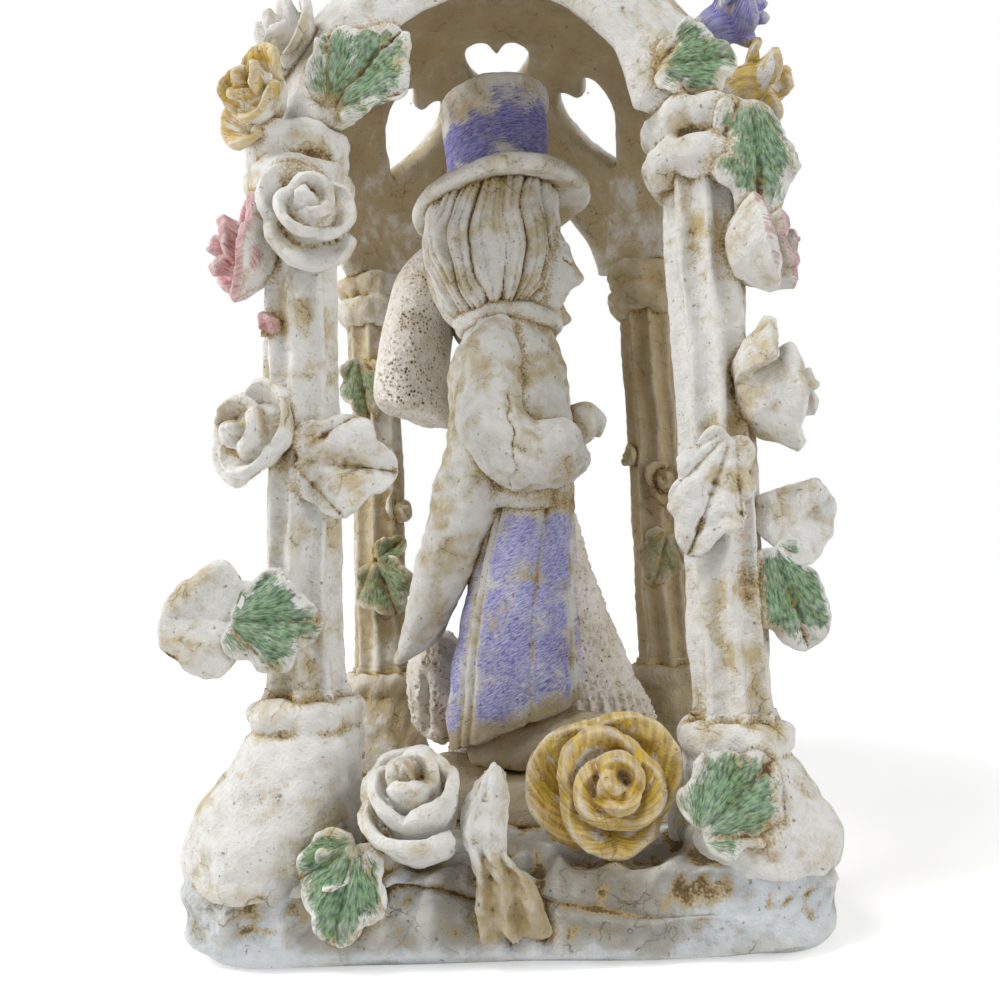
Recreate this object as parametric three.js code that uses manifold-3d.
// Wedding cake topper: a couple under a rose gazebo with a sail dome pierced by hearts.
// Millimetres, +Z up. The origin is on the base's underside, under the middle of the four columns;
// -Y is the front, and the couple face +X.
import * as THREE from 'three';
import { mergeVertices } from 'three/addons/utils/BufferGeometryUtils.js';
import Module from 'manifold-3d';

const wasm = await Module();
wasm.setup();

// Driving sizes of the base
const BASE_WIDTH = 97;
const BASE_DEPTH = 91;
const BASE_SHIFT = 2.5;
const BASE_HEIGHT = 13.5;
const BASE_CORNER = 10;
const BASE_TOP_INSET = 2.5;
const BASE_WEAR = 1.6;
const MOUND_LENGTH = 50;
const MOUND_WIDTH = 43;
const MOUND_HEIGHT = 6;
const MOUND_FORWARD = 2;
const MOUND_BACK = 1;

// Driving sizes of the columns
const COLUMN_SPACING = 65;
const PEDESTAL_FOOT_WIDTH = 24.5;
const COLLAR_WIDTH = 17.4;
const COLLAR_HEIGHT = 4.5;
const SHAFT_WIDTH = 12;
const SHAFT_FOOT_SWELL = 0.8;
const FLUTE_COUNT = 8;
const FLUTE_DEPTH = 1;
const CAPITAL_WIDTH = 17;
const CAPITAL_HEIGHT = 11.5;
const CAPITAL_NECK_WIDTH = 13.6;

// Driving sizes of the dome
const SPRINGING_HEIGHT = 126;
const DOME_WALL = 6;
const ARCH_WIDTH = 44;
const ARCH_BAND = 8;
const ARCH_FACE_PROUD = 5.5;
const ARCH_HEART_LENGTH = 17;
const ARCH_HEART_WIDTH = 15;
const ARCH_HEART_LEAN = 20;
const CORNER_HEART_LENGTH = 22;
const CORNER_HEART_WIDTH = 15;
const CORNER_HEART_LEAN = 45;

// Driving sizes of the couple and of the flowers
const COUPLE_HEIGHT = 132;
const HAIR_BOXINESS = 2.6;
const ROSE_WIDTH = 15;
const ROSE_DEPTH = 10;
const PETAL_WAVE = 0.07;
const LEAF_LENGTH = 15;
const LEAF_THICKNESS = 1.7;
const ROOT_SINK = 1.6;

// Clearance between glued pieces, and how far a facet may stand from the true surface
const SEAT_GAP = 0.3;
const FACET_TOLERANCE = 0.15;
const WELD = 0.002;

// Heights and places that follow from the sizes above
const half = COLUMN_SPACING / 2;
const shaftRadius = SHAFT_WIDTH / 2;
const capitalTop = SPRINGING_HEIGHT - SEAT_GAP;
const capitalBase = capitalTop - CAPITAL_HEIGHT;
const archFace = half + ARCH_FACE_PROUD;
const domeRadius = Math.hypot(archFace, ARCH_WIDTH / 2 + ARCH_BAND);
const moundFoot = BASE_HEIGHT + SEAT_GAP;

const columns = {
  front_left: { x: -half, y: -half, rise: 22.5, spread: 5.5, stout: 1.1 },
  front_right: { x: half, y: -half, rise: 17, spread: 2, stout: 1 },
  back_left: { x: -half, y: half, rise: 19.5, spread: 2, stout: 1 },
  back_right: { x: half, y: half, rise: 19.5, spread: 2, stout: 1 },
};

const finishes = {
  ivory: { color: 0xddd8cc, roughness: 0.8, metalness: 0 },
  shade: { color: 0xc9bda6, roughness: 0.85, metalness: 0 },
  lace: { color: 0xd8cfc0, roughness: 0.9, metalness: 0 },
  green: { color: 0x5f9460, roughness: 0.8, metalness: 0 },
  yellow: { color: 0xd9b93a, roughness: 0.75, metalness: 0 },
  pink: { color: 0xd59a9b, roughness: 0.8, metalness: 0 },
  purple: { color: 0x6f62a6, roughness: 0.75, metalness: 0 },
  lilac: { color: 0xa89fd8, roughness: 0.8, metalness: 0 },
};

const topper = new THREE.Group();
const seated = [];

function vector(x, y, z) {
  return new THREE.Vector3(x, y, z);
}

// Geometry, closed by its ends, that runs through rings of as many points each
function loft(rings) {
  const count = rings[0].length;
  const points = rings.flat();
  const faces = [];
  for (let r = 0; r + 1 < rings.length; r += 1) {
    for (let i = 0; i < count; i += 1) {
      const a = r * count + i;
      const b = r * count + ((i + 1) % count);
      faces.push(a, b, b + count, a, b + count, a + count);
    }
  }
  for (const end of [0, rings.length - 1]) {
    const middle = rings[end].reduce((sum, p) => sum.add(p), vector(0, 0, 0)).divideScalar(count);
    const hub = points.push(middle) - 1;
    for (let i = 0; i < count; i += 1) {
      const a = end * count + i;
      const b = end * count + ((i + 1) % count);
      faces.push(...(end === 0 ? [hub, b, a] : [hub, a, b]));
    }
  }
  return new THREE.BufferGeometry().setFromPoints(points).setIndex(faces);
}

// Level ellipse, which can slope along X and have a wavy edge
function ring(x, y, z, wide, deep, { slope = 0, count = 14, wave = () => 1, lift = () => 0 } = {}) {
  return Array.from({ length: count }, (_, i) => {
    const angle = (i / count) * 2 * Math.PI;
    const across = wide * wave(angle) * Math.cos(angle);
    const along = deep * wave(angle) * Math.sin(angle);
    return vector(x + across, y + along, z + slope * across + lift(x + across));
  });
}

// Limb through places, each [x, y, z, half width, half height], square to the way it runs
function limb(places, count = 10) {
  const path = new THREE.CatmullRomCurve3(places.map(([x, y, z]) => vector(x, y, z)));
  const rings = places.map(([x, y, z, wide, tall], i) => {
    const ahead = path.getTangent(i / (places.length - 1));
    const side = vector(-ahead.y, ahead.x, 0);
    if (side.length() < 0.3) side.set(0, -1, 0);
    side.normalize();
    const up = ahead.clone().cross(side);
    return Array.from({ length: count }, (_, k) => {
      const angle = (k / count) * 2 * Math.PI;
      const out = side.clone().multiplyScalar(wide * Math.cos(angle));
      return vector(x, y, z).add(out).addScaledVector(up, tall * Math.sin(angle));
    });
  });
  return loft(rings);
}

function egg(x, y, z, wide, deep, tall, around = 12) {
  const sphere = new THREE.SphereGeometry(1, around, around - 4);
  return sphere.scale(wide, deep, tall).translate(x, y, z);
}

// Solid of a closed geometry, with its faces turned out
function solid(geometry) {
  const plain = new THREE.BufferGeometry().setIndex(geometry.index);
  plain.setAttribute('position', geometry.getAttribute('position').clone());
  const welded = mergeVertices(plain, WELD);
  const whole = [];
  for (let i = 0; i < welded.index.count; i += 3) {
    const [a, b, c] = [0, 1, 2].map((k) => welded.index.getX(i + k));
    if (a !== b && b !== c && c !== a) whole.push(a, b, c);
  }
  const body = asManifold(welded.attributes.position.array, whole);
  return body.volume() > 0 ? body : asManifold(welded.attributes.position.array, whole.reverse());
}

function asManifold(positions, faces) {
  const vertProperties = Float32Array.from(positions);
  return new wasm.Manifold(new wasm.Mesh({ numProp: 3, vertProperties, triVerts: Uint32Array.from(faces) }));
}

function joined(...geometries) {
  return geometries.map(solid).reduce((sum, body) => sum.add(body));
}

// Points and faces of a body
function facets(body) {
  const mesh = body.getMesh();
  const points = Array.from({ length: mesh.numVert }, (_, i) =>
    new THREE.Vector3().fromArray(mesh.vertProperties, i * mesh.numProp));
  return { points, faces: mesh.triVerts };
}

function geometryOf(body) {
  const { points, faces } = facets(body);
  return new THREE.BufferGeometry().setFromPoints(points).setIndex(Array.from(faces));
}

// Body whose faces all stand out by the gap
function swollen(body, gap) {
  const { points, faces } = facets(body);
  const normals = points.map(() => vector(0, 0, 0));
  const sides = points.map(() => []);
  for (let i = 0; i < faces.length; i += 3) {
    const [a, b, c] = [faces[i], faces[i + 1], faces[i + 2]];
    const normal = points[b].clone().sub(points[a]).cross(points[c].clone().sub(points[a]));
    if (normal.length() < 1e-9) continue;
    normal.normalize();
    for (const [at, left, right] of [[a, b, c], [b, c, a], [c, a, b]]) {
      const corner = points[left].clone().sub(points[at]).angleTo(points[right].clone().sub(points[at]));
      normals[at].addScaledVector(normal, corner);
      sides[at].push(normal);
    }
  }
  const moved = points.map((point, i) => {
    const out = normals[i].normalize();
    const least = sides[i].reduce((low, side) => Math.min(low, side.dot(out)), 1);
    return point.clone().addScaledVector(out, gap / Math.max(least, 0.4));
  });
  return asManifold(moved.flatMap((p) => [p.x, p.y, p.z]), faces);
}

function boxOf(body) {
  const { min, max } = body.boundingBox();
  return new THREE.Box3(vector(...min), vector(...max));
}

function largest(body) {
  return body.decompose().reduce((best, piece) => (piece.volume() > best.volume() ? piece : best));
}

// Glues a body in its place: it is cut back to the seat gap from every piece that was there before it
function seat(name, body, finish, anchor = new THREE.Matrix4()) {
  let fitted = body;
  const reach = boxOf(body).expandByScalar(0.9 * SEAT_GAP);
  for (const other of seated) {
    if (!other.box.intersectsBox(reach)) continue;
    other.room ??= swollen(other.body, SEAT_GAP);
    fitted = fitted.subtract(other.room);
  }
  fitted = largest(solid(geometryOf(largest(fitted).simplify(FACET_TOLERANCE))));
  seated.push({ body: fitted, box: boxOf(fitted) });
  const geometry = geometryOf(fitted).applyMatrix4(anchor.clone().invert());
  const mesh = new THREE.Mesh(geometry.toNonIndexed(), new THREE.MeshStandardMaterial(finishes[finish]));
  mesh.geometry.computeVertexNormals();
  mesh.name = name;
  mesh.position.setFromMatrixPosition(anchor);
  mesh.quaternion.setFromRotationMatrix(anchor);
  topper.add(mesh);
}

// Frame at a place, whose Z looks along a direction and whose X stays as near as it can to another
function frame(place, look, along) {
  const z = look.clone().normalize();
  const y = z.clone().cross(along).normalize();
  const x = y.clone().cross(z);
  return new THREE.Matrix4().makeBasis(x, y, z).setPosition(place);
}

// Rounded oblong at a share of the base's height, with worn sides that are smooth where wear is 0
function plinthRing(inset, share, wear) {
  const [wide, deep] = [BASE_WIDTH / 2 + inset, BASE_DEPTH / 2 + inset];
  const count = 36;
  return Array.from({ length: count }, (_, i) => {
    const angle = ((i + 0.5) / count) * 2 * Math.PI;
    const [c, s] = [Math.cos(angle), Math.sin(angle)];
    const corner = vector(Math.sign(c) * (wide - BASE_CORNER), Math.sign(s) * (deep - BASE_CORNER), 0);
    const edge = vector(c, s, 0).divideScalar(Math.max(Math.abs(c) / wide, Math.abs(s) / deep));
    const past = edge.clone().sub(corner);
    if (past.x * Math.sign(c) > 0 && past.y * Math.sign(s) > 0) {
      edge.copy(corner).addScaledVector(past.normalize(), BASE_CORNER);
    }
    const rough = wear * (Math.sin(7 * angle + 13 * share) + Math.sin(11 * angle - 27 * share));
    return edge.multiplyScalar(1 - rough / BASE_WIDTH).add(vector(-BASE_SHIFT, 0, share * BASE_HEIGHT));
  });
}

function addBase() {
  const levels = [[0, -1.5, 0], [0.1, 0, 0.4], [0.5, 0, 0.9], [0.72, -0.6, 1], [0.92, -0.8, 0.75],
    [1, -1, 0.3]];
  const rings = levels.map(([share, inset, wear]) =>
    plinthRing((inset * BASE_TOP_INSET) / 2, share, wear * BASE_WEAR));
  seat('base_plinth', solid(loft(rings)), 'ivory');
  const mound = [[0, 1], [0.45, 0.98], [0.8, 0.9], [1, 0.74]].map(([share, size]) => {
    const [wide, deep] = [(size * MOUND_LENGTH) / 2, (size * MOUND_WIDTH) / 2];
    return ring(MOUND_FORWARD, MOUND_BACK, moundFoot + share * MOUND_HEIGHT, wide, deep, { count: 20 });
  });
  seat('figure_mound', solid(loft(mound)), 'shade');
}

function addColumn(name, { x, y, rise, spread, stout }) {
  const foot = BASE_HEIGHT + SEAT_GAP;
  const top = BASE_HEIGHT + rise;
  const collarFoot = top - COLLAR_HEIGHT;
  const bell = collarFoot - foot;
  const footRadius = (stout * PEDESTAL_FOOT_WIDTH) / 2;
  const collar = COLLAR_WIDTH / 2;
  const outward = Math.sign(x) * spread;
  const level = (lean, z, radius) => ring(x + outward * lean, y, z, radius, radius);
  const swell = [[0, 0.9, 1], [0.16, 1, 1], [0.4, 0.93, 0.8], [0.7, 0.76, 0.4]];
  const bellRings = swell.map(([share, size, lean]) =>
    level(lean, foot + share * bell, size * footRadius));
  const collarRings = [[0, 0.93], [0.3, 1], [0.75, 1], [1, 0.9]].map(([share, size]) =>
    level(0, collarFoot + share * COLLAR_HEIGHT, size * collar));
  seat(`pedestal_${name}`, solid(loft([...bellRings, ...collarRings])), 'ivory');

  const shaftFoot = top + SEAT_GAP;
  const shaftTop = capitalBase - SEAT_GAP;
  const groove = (angle) => FLUTE_DEPTH * Math.abs(Math.sin((FLUTE_COUNT / 2) * angle));
  const flutes = { count: FLUTE_COUNT * 4, wave: (angle) => 1 - groove(angle) / shaftRadius };
  const shaft = [[0, SHAFT_FOOT_SWELL], [0.06, 0], [1, 0]].map(([share, extra]) => {
    const radius = shaftRadius + extra;
    return ring(x, y, shaftFoot + share * (shaftTop - shaftFoot), radius, radius, flutes);
  });
  seat(`shaft_${name}`, solid(loft(shaft)), 'ivory');

  const neck = CAPITAL_NECK_WIDTH / 2;
  const wide = CAPITAL_WIDTH / 2;
  const profile = [[0, neck], [0.18, wide], [0.46, wide], [0.58, neck], [0.74, 0.95 * wide],
    [1, 0.98 * wide]];
  const capital = profile.map(([share, radius]) =>
    ring(x, y, capitalBase + share * CAPITAL_HEIGHT, radius, radius));
  seat(`capital_${name}`, solid(loft(capital)), 'ivory');
}

// Heart with its lobes towards +Y and its middle at the origin
function heartShape(width, length) {
  const [w, l] = [width / 2, length / 2];
  const shape = new THREE.Shape().moveTo(0, -l);
  shape.bezierCurveTo(0.35 * w, -0.55 * l, w, -0.2 * l, w, 0.38 * l);
  shape.bezierCurveTo(w, 1.12 * l, 0.2 * w, 1.18 * l, 0, 0.55 * l);
  shape.bezierCurveTo(-0.2 * w, 1.18 * l, -w, 1.12 * l, -w, 0.38 * l);
  shape.bezierCurveTo(-w, -0.2 * l, -0.35 * w, -0.55 * l, 0, -l);
  return shape;
}

// Sail dome: a shell cut square by its four arches, and pierced by hearts over the front and back arches
// and over the columns
function addDome() {
  const middle = vector(0, 0, SPRINGING_HEIGHT);
  const ball = (radius) => {
    const sphere = new THREE.SphereGeometry(radius, 26, 12).rotateX(Math.PI / 2);
    return solid(sphere.translate(0, 0, middle.z));
  };
  const square = new THREE.BoxGeometry(2 * archFace, 2 * archFace, domeRadius + 1);
  square.translate(0, 0, middle.z + (domeRadius + 1) / 2);
  let dome = ball(domeRadius).subtract(ball(domeRadius - DOME_WALL)).intersect(solid(square));
  const arch = new THREE.CylinderGeometry(ARCH_WIDTH / 2, ARCH_WIDTH / 2, 2 * domeRadius, 28);
  for (const turn of [0, Math.PI / 2]) {
    dome = dome.subtract(solid(arch.clone().rotateZ(turn).translate(0, 0, middle.z)));
  }
  const rows = [
    { width: ARCH_HEART_WIDTH, length: ARCH_HEART_LENGTH, lean: ARCH_HEART_LEAN, start: Math.PI / 2,
      count: 2 },
    { width: CORNER_HEART_WIDTH, length: CORNER_HEART_LENGTH, lean: CORNER_HEART_LEAN,
      start: Math.PI / 4, count: 4 },
  ];
  for (const { width, length, lean, start, count } of rows) {
    const heart = new THREE.ExtrudeGeometry(heartShape(width, length), {
      depth: 2 * DOME_WALL, bevelEnabled: false, curveSegments: 4,
    });
    for (let k = 0; k < count; k += 1) {
      const angle = start + (k * 2 * Math.PI) / count;
      const tilt = THREE.MathUtils.degToRad(lean);
      const away = vector(Math.cos(angle), Math.sin(angle), 0);
      const out = away.clone().multiplyScalar(Math.sin(tilt)).setZ(Math.cos(tilt));
      const upward = away.clone().multiplyScalar(-Math.cos(tilt)).setZ(Math.sin(tilt));
      const place = middle.clone().addScaledVector(out, domeRadius - 1.5 * DOME_WALL);
      const pose = new THREE.Matrix4().makeBasis(upward.clone().cross(out), upward, out).setPosition(place);
      dome = dome.subtract(solid(heart.clone().applyMatrix4(pose)));
    }
  }
  seat('dome', dome, 'ivory');
}

// The couple are drawn at COUPLE_DRAWN height above the floor and sized to COUPLE_HEIGHT
const COUPLE_DRAWN = 132;
const DRAWN_FLOOR = 13.5;
const coupleSize = COUPLE_HEIGHT / COUPLE_DRAWN;
const couple = new THREE.Matrix4().makeTranslation(0, 0, BASE_HEIGHT);
couple.multiply(new THREE.Matrix4().makeScale(coupleSize, coupleSize, coupleSize));
couple.multiply(new THREE.Matrix4().makeTranslation(0, 0, -DRAWN_FLOOR));

function addFigure(name, finish, ...geometries) {
  seat(name, joined(...geometries.map((geometry) => geometry.applyMatrix4(couple))), finish);
}

function addGroom() {
  const y = -8;
  const boxiness = (a) => (Math.abs(Math.cos(a)) ** HAIR_BOXINESS + Math.abs(Math.sin(a)) ** HAIR_BOXINESS)
    ** (-1 / HAIR_BOXINESS);
  const shoe = [[-10, y, 23, 3, 3], [-5, y, 24, 6.6, 5], [5, y - 1, 24.6, 7.2, 5.6],
    [13, y - 1, 24, 6.6, 5], [18, y - 1, 23, 4.6, 3.6], [20, y - 1, 22.6, 1.8, 1.8]];
  addFigure('groom_shoe', 'ivory', limb(shoe));
  const trousers = [[-0.8, 27.5, 12.4, 9.5, 0.34], [0, 34, 12, 9.4, 0.25], [2, 48, 10, 9, 0.1],
    [4.5, 62, 7.6, 8.4, 0], [5, 69, 6.6, 8, 0]];
  addFigure('groom_trousers', 'lilac', loft(trousers.map(([x, z, wide, deep, slope]) =>
    ring(x, y, z, wide, deep, { slope, count: 18 }))));
  const torso = [[2, 66, 9.5, 8.8], [0.8, 70, 10.6, 9.2], [0.2, 80, 11.2, 9.6], [0, 90, 10.8, 9.8],
    [0, 96, 9.8, 9.2], [0.3, 100, 8, 7.6]];
  const tails = [[-3.4, 78, 8.8, 9], [-7.4, 67, 7.8, 9], [-11.6, 60, 5.6, 8.4], [-15.8, 50, 4.2, 7],
    [-19.4, 42, 2.5, 4.6], [-22, 38.6, 0.8, 1.4]];
  const level = ([x, z, wide, deep]) => ring(x, y, z, wide, deep);
  addFigure('groom_coat', 'ivory', loft(torso.map(level)), loft(tails.map(level)));
  const sleeve = [[-1, y - 7.5, 98, 4.2, 4.2], [-3, y - 9.3, 89, 5.6, 5.4], [-2.6, y - 10, 80, 6.2, 5.8],
    [1.5, y - 9.8, 74.6, 6.2, 6], [6.5, y - 8.6, 74.6, 5.8, 5.8], [11, y - 6.4, 76.4, 5.4, 5.6]];
  addFigure('groom_sleeve', 'ivory', limb(sleeve));
  const collar = [[100.3, 8.4], [100.8, 9.4], [102.3, 9.2], [103, 8]].map(([z, size]) =>
    ring(0.4, y, z, size * 1.03, size, { slope: -0.03 }));
  addFigure('groom_collar', 'ivory', loft(collar));
  addFigure('groom_head', 'ivory', egg(2, y, 112.2, 11, 10, 11.4), egg(12.4, y, 110.6, 2, 1.7, 1.9, 7));
  const hat = { slope: 0.11, count: 18 };
  const brim = [[124.7, 9], [124.4, 15.4], [125.8, 16.6], [126.9, 15.6], [127.2, 10]].map(([z, size]) =>
    ring(0, y, z, size, 0.96 * size, hat));
  addFigure('hat_brim', 'ivory', loft(brim));
  const crown = [[127.5, 9.6], [134, 9.7], [143, 10.4], [145.2, 10.2], [145.5, 9]].map(([z, size]) =>
    ring(-0.4, y, z, size, size, hat));
  addFigure('hat_crown', 'purple', loft(crown));
  const strands = { count: 18, wave: (a) => (1 + 0.025 * Math.cos(9 * a)) * boxiness(a) };
  const hair = [[-1.8, 102.5, 7, 8], [-2.2, 105, 9.4, 10.2], [-2.3, 111, 11.4, 11.6], [-2.1, 118, 12, 11.8],
    [-1.4, 125, 11.4, 11]].map(([x, z, wide, deep]) => ring(x, y, z, wide, deep, strands));
  addFigure('groom_hair', 'ivory', loft(hair));
}

function addBride() {
  const y = 11;
  const waist = { x: 3, z: 76, wide: 7.4, deep: 7.2 };
  const hem = { x: 5.5, wide: 21, deep: 13.5, z: 20.5 };
  const ruffles = (a) => 1 + 0.02 * Math.cos(11 * a);
  const skirt = [0, 0.06, 0.2, 0.4, 0.65, 1].map((share) => {
    const spread = (1 - share) ** 1.3;
    const mix = (from, to) => to + (from - to) * spread;
    const z = hem.z + (waist.z - hem.z) * share;
    return ring(mix(hem.x, waist.x), y, z, mix(hem.wide, waist.wide), mix(hem.deep, waist.deep), {
      count: 22, wave: share < 0.1 ? ruffles : () => 1, lift: (x) => 0.02 * (1 - share) * Math.max(x, 0) ** 2,
    });
  });
  addFigure('bride_skirt', 'lace', loft(skirt), egg(-16, 3, 33, 6, 7, 10.5, 12));
  const bodice = [[2, 76.4, 7.2, 7], [1.6, 84, 8, 8], [1.2, 93, 8, 9], [1, 98, 6.4, 7.4], [1, 102.4, 4, 4]];
  addFigure('bride_bodice', 'lace', loft(bodice.map(([x, z, wide, deep]) => ring(x, y, z, wide, deep))));
  const arm = [[1, y + 8.5, 96, 3.4, 3.4], [2, y + 10, 88, 4, 4], [5, y + 8, 80, 3.8, 3.8],
    [10, y, 79.5, 3.2, 3.2], [12, y - 6, 81, 2.8, 2.8]];
  addFigure('bride_arm', 'ivory', limb(arm));
  addFigure('joined_hands', 'ivory', egg(13.6, -3.6, 82.4, 3.4, 6.6, 4.2, 10));
  const [skull, nose] = [egg(2, y + 3, 111, 9.8, 9, 10.2), egg(11.3, y + 3, 109.6, 1.7, 1.4, 1.6, 7)];
  addFigure('bride_head', 'ivory', skull, nose);
  const cap = [[-5, 103, 4, 5], [-3.5, 107, 8.2, 9.4], [-1.6, 114, 9.8, 10.4], [-0.4, 120, 8.6, 8.8],
    [0, 123.4, 4, 4]];
  addFigure('bride_hair', 'shade', loft(cap.map(([x, z, wide, deep]) =>
    ring(x, y + 3, z, wide, deep, { count: 12 }))));
  const veil = [[-19.6, 86.6, 4.2, 7.5], [-20.4, 89.5, 7.4, 10], [-20.8, 96, 7.7, 11], [-19.8, 105, 7.7, 11],
    [-17.4, 114, 8.4, 10.5], [-14.2, 121, 8.6, 9.5], [-9, 126.6, 6, 6]];
  addFigure('bride_veil', 'lace', loft(veil.map(([x, z, wide, deep]) => ring(x, y + 1, z, wide, deep))));
}

// Rose that looks along +Z from its back at the origin, with the rims of three rounds of petals
function roseGeometry(width, depth, petals = 5) {
  const rounds = [[0.3, 0, 0], [0.7, 0.22, 0.3], [1, 0.76, 1], [0.9, 0.9, 1], [0.7, 0.62, 0.2],
    [0.6, 0.98, 0.7], [0.4, 0.78, 0.4], [0.26, 1, 0.3]];
  const count = petals * 3;
  return loft(rounds.map(([size, rise, wave], r) => {
    const turn = r < 4 ? 0 : 0.6;
    const edge = (a) => 1 + PETAL_WAVE * wave * Math.cos(petals * a + turn);
    return ring(0, 0, rise * depth, (size * width) / 2, (size * width) / 2, { count, wave: edge });
  }));
}

// Leaf that grows along +X from the origin with its face to +Z. It is folded along its middle and droops to
// its tip, and its length and width are shares of the usual leaf's length.
function leafGeometry({ length = 1, width = 0.8, droop = 0.1, fold = 0.07, lobes = 2, blunt = 0.75 }) {
  const across = [-1, 0, 1];
  const steps = 6;
  const rings = Array.from({ length: steps + 1 }, (_, i) => {
    const along = i / steps;
    const outline = Math.max(0.16, Math.sin(Math.PI * along ** blunt) ** 0.7);
    const lobed = 1 + 0.1 * Math.cos(2 * Math.PI * lobes * along);
    const edge = (v, side) => {
      const folded = fold * (Math.abs(v) - 0.5) * Math.sin(Math.PI * along);
      const height = 0.04 - droop * along ** 2 + folded;
      const place = vector(along * length, (width / 2) * outline * lobed * v, height);
      return place.multiplyScalar(LEAF_LENGTH).add(vector(0, 0, (side * LEAF_THICKNESS) / 2));
    };
    return [...across.map((v) => edge(v, 1)), ...across.toReversed().map((v) => edge(v, -1))];
  });
  return loft(rings);
}

// Places a rose by the point where its back is glued and the way it looks. Its width and depth are shares of
// the usual rose's.
function addRose(name, finish, place, look, { width = 1, depth = 1, petals = 5 } = {}) {
  const side = Math.abs(look.z) > 0.8 * look.length() ? vector(1, 0, 0) : vector(0, 0, 1);
  const pose = frame(place.clone().addScaledVector(look.clone().normalize(), -ROOT_SINK), look, side);
  const rose = roseGeometry(width * ROSE_WIDTH, depth * ROSE_DEPTH, petals);
  seat(name, solid(rose.applyMatrix4(pose)), finish, pose);
}

// Places leaves that share one root: each grows its own way and shows its face along its look
function addLeaves(name, finish, root, leaves) {
  const blades = leaves.map(({ grow, look, ...sizes }) =>
    leafGeometry(sizes).applyMatrix4(frame(root, look, grow)));
  seat(name, joined(...blades), finish, new THREE.Matrix4().setPosition(root));
}

// Way out along a bearing in degrees, where 0 is +X and 270 the front
function facing(bearing, rise = 0) {
  const angle = THREE.MathUtils.degToRad(bearing);
  return vector(Math.cos(angle), Math.sin(angle), rise);
}

// Height at a share of the way from the base's top to the springing of the arches
function up(share) {
  return BASE_HEIGHT + share * (SPRINGING_HEIGHT - BASE_HEIGHT);
}

// Point beside a column's axis: out along a bearing in degrees, a share of the way up
function onColumn(name, bearing, share, out = shaftRadius) {
  const { x, y } = columns[name];
  return facing(bearing).multiplyScalar(out).add(vector(x, y, up(share)));
}

// Point on the dome's outer face, at a bearing from its middle and a share of its height
function onDome(bearing, share) {
  const out = domeRadius * Math.sqrt(1 - share ** 2);
  return facing(bearing).multiplyScalar(out).setZ(SPRINGING_HEIGHT + share * domeRadius);
}

// Point on the flat band of the front arch, at an angle in degrees from +X over the arch's middle
function onFrontArch(angle) {
  const turn = THREE.MathUtils.degToRad(angle);
  const out = (ARCH_WIDTH + ARCH_BAND) / 2;
  const face = -archFace - LEAF_THICKNESS / 2;
  return vector(out * Math.cos(turn), face, SPRINGING_HEIGHT + out * Math.sin(turn));
}

const FRONT = vector(0, -1, 0);

function addBaseFlowers() {
  const front = -BASE_DEPTH / 2;
  const ledge = front + BASE_TOP_INSET;
  const across = (share, y, rise) => vector(share * COLUMN_SPACING, y, BASE_HEIGHT + rise * ROSE_WIDTH);
  addRose('rosebud_white', 'ivory', across(-0.238, ledge + 0.3 * ROSE_WIDTH, 0.17), vector(-0.1, -0.62, 0.78),
    { width: 1.13, depth: 1.85 });
  addRose('rose_yellow_big', 'yellow', across(0.2, ledge + 0.53 * ROSE_WIDTH, 0.6), vector(0.05, -1, 0.12),
    { width: 1.37, depth: 1.15 });
  addLeaves('leaf_folded', 'ivory', across(-0.044, ledge + BASE_TOP_INSET, 0.87), [{
    grow: vector(0, -0.16, -1), look: vector(0.1, -1, 0.1),
    length: 1.6, width: 0.67, droop: -0.07, fold: -0.23, lobes: 1 }]);
  addLeaves('leaf_base_right', 'green', across(0.368, -half - PEDESTAL_FOOT_WIDTH / 2, 0.27), [{
    grow: vector(0.9, 0, 0.7), look: vector(0.05, -1, 0.2),
    length: 0.95, width: 0.88, fold: -0.09, lobes: 3 }]);
  addLeaves('leaf_base_left', 'green', across(-0.345, front - LEAF_THICKNESS / 4, 0.3), [
    { grow: vector(-0.25, -0.12, -1), look: vector(0, -1, 0.1), length: 0.87, width: 0.73, fold: -0.09 },
    { grow: vector(-1, 0, -0.6), look: vector(0, -1, 0.1), length: 0.6, width: 0.5, lobes: 1 }]);
  const rightEdge = BASE_WIDTH / 2 - BASE_SHIFT - BASE_TOP_INSET - LEAF_THICKNESS / 4;
  addLeaves('leaf_base_side', 'ivory', vector(rightEdge, -0.29 * COLUMN_SPACING, up(0.01)), [
    { grow: vector(0.1, -0.75, 0.5), look: vector(1, -0.2, 0.3), length: 0.87, width: 0.6 }]);
}

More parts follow.
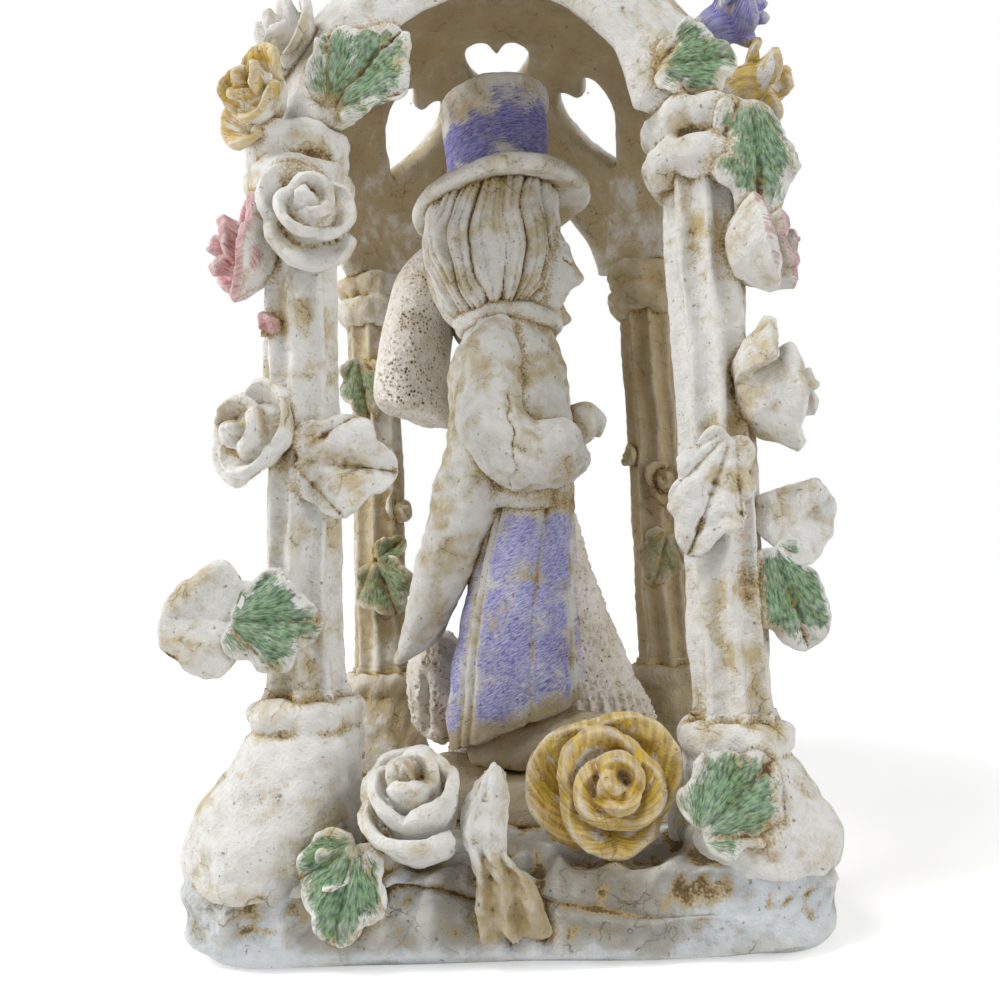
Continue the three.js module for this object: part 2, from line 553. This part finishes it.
function addLeftGarland() {
  const name = 'front_left';
  addRose('rose_cream', 'ivory', onColumn(name, 226, 0.557), facing(240, 0.08), { width: 1.15, depth: 1.05 });
  addRose('rose_pink', 'pink', onColumn(name, 196, 0.823), facing(195, 0.05), { width: 1.17, depth: 1.1 });
  addRose('rose_white', 'ivory', onColumn(name, 296, 0.859), facing(290, 0.15), { width: 1.07 });
  addRose('rosebud_pink', 'pink', onColumn(name, 232, 0.712), facing(215, -0.4),
    { width: 0.33, depth: 0.4, petals: 3 });
  addRose('rose_yellow', 'yellow', onColumn(name, 240, 1.034, shaftRadius + SEAT_GAP), facing(240, 0.12),
    { width: 0.93 });
  addRose('rose_cream_top', 'ivory', onDome(224, 0.36), facing(215, 0.25), { width: 0.97 });
  addLeaves('leaves_left_low', 'green', onColumn(name, 216, 0.311, 2 * shaftRadius), [
    { grow: vector(1, -0.06, -0.05), look: vector(-0.06, -1, 0),
      length: 0.88, width: 0.95, fold: -0.08, lobes: 3 },
    { grow: vector(-1, -0.1, 0.1), look: vector(0.15, -1, 0.05), length: 0.7, width: 1.2, blunt: 0.55 }]);
  addLeaves('leaf_white', 'ivory', onColumn(name, 270, 0.524), [{
    grow: vector(1, -0.1, -0.15), look: vector(0.1, -1, 0),
    length: 1, width: 1, fold: 0.09, lobes: 3, blunt: 0.5 }]);
  addLeaves('leaf_left_top', 'green', onFrontArch(176), [
    { grow: vector(0.62, -0.05, 0.7), look: FRONT, length: 1.13, width: 1, fold: 0.09 }]);
}

function addRightGarland() {
  const name = 'front_right';
  const onShaft = shaftRadius + LEAF_THICKNESS / 3;
  addRose('rose_white_right', 'ivory', onColumn(name, 330, 0.585), facing(345, 0.1),
    { width: 1.33, depth: 1.25 });
  addRose('rose_pink_edged', 'ivory', onColumn(name, 332, 0.782), facing(345, 0.2),
    { width: 1.13, depth: 1.15 });
  addRose('rose_yellow_right', 'yellow', onDome(325, 0.145), facing(345, 0.1), { width: 0.87, depth: 1.3 });
  addRose('rose_purple', 'purple', onDome(324, 0.39), facing(338, 0.2), { width: 0.8, depth: 1.35 });
  addLeaves('leaves_right_low', 'green', onColumn(name, 336, 0.384, onShaft), [
    { grow: vector(0.85, -0.3, 0.55), look: vector(0.2, -1, 0.1), length: 0.83, width: 0.8, blunt: 0.55 },
    { grow: vector(0.5, -0.4, -1), look: vector(0.25, -1, 0), length: 1.07, width: 0.83, fold: -0.09 }]);
  addLeaves('leaf_ivory_small', 'ivory', onColumn(name, 278, 0.531, onShaft), [
    { grow: vector(-0.2, -0.06, -1), look: FRONT, length: 1.2, width: 0.73, fold: 0.09 }]);
  addLeaves('leaf_right_long', 'green', onColumn(name, 312, 0.996, CAPITAL_WIDTH / 2 + LEAF_THICKNESS / 2), [{
    grow: vector(0.1, -0.04, -1), look: vector(0.2, -1, 0),
    length: 1.33, width: 0.87, fold: -0.09, lobes: 3 }]);
  addLeaves('leaf_right_top', 'green', onFrontArch(11), [
    { grow: vector(0.9, -0.02, 0.1), look: FRONT, length: 0.83, width: 0.8, fold: -0.09 }]);
}

function addBackFlowers() {
  const onShaft = shaftRadius + LEAF_THICKNESS / 3;
  addLeaves('leaf_back_left', 'green', onColumn('back_left', 248, 0.82, onShaft), [
    { grow: vector(0.12, -0.05, -1), look: FRONT, length: 0.93, width: 0.67, fold: 0.09 }]);
  addLeaves('leaves_back_left_low', 'green', onColumn('back_left', 272, 0.404, onShaft), [
    { grow: vector(0.35, -0.1, -1), look: FRONT, length: 0.83, width: 0.87, fold: 0.11 },
    { grow: vector(0.9, -0.1, 0.6), look: vector(0.3, -1, 0), length: 0.53, width: 0.4, lobes: 1 }]);
  addRose('rosebud_back_left', 'ivory', onColumn('back_left', 340, 0.502), facing(340, 0.1),
    { width: 0.6, depth: 0.4, petals: 3 });
  addRose('rosebud_back_right', 'ivory', onColumn('back_right', 200, 0.594), facing(196, 0.1),
    { width: 0.47, depth: 0.4, petals: 3 });
  addRose('flower_back_right', 'ivory', onColumn('back_right', 284, 0.542), facing(270, 0.1),
    { width: 0.67, depth: 0.5, petals: 4 });
  addLeaves('leaf_back_right', 'green', onColumn('back_right', 280, 0.44, onShaft), [
    { grow: vector(-0.3, -0.1, -1), look: FRONT, length: 0.8, width: 0.67, fold: -0.09 }]);
}

addBase();
for (const [name, column] of Object.entries(columns)) addColumn(name, column);
addDome();
addGroom();
addBride();
addBaseFlowers();
addLeftGarland();
addRightGarland();
addBackFlowers();

export default topper;
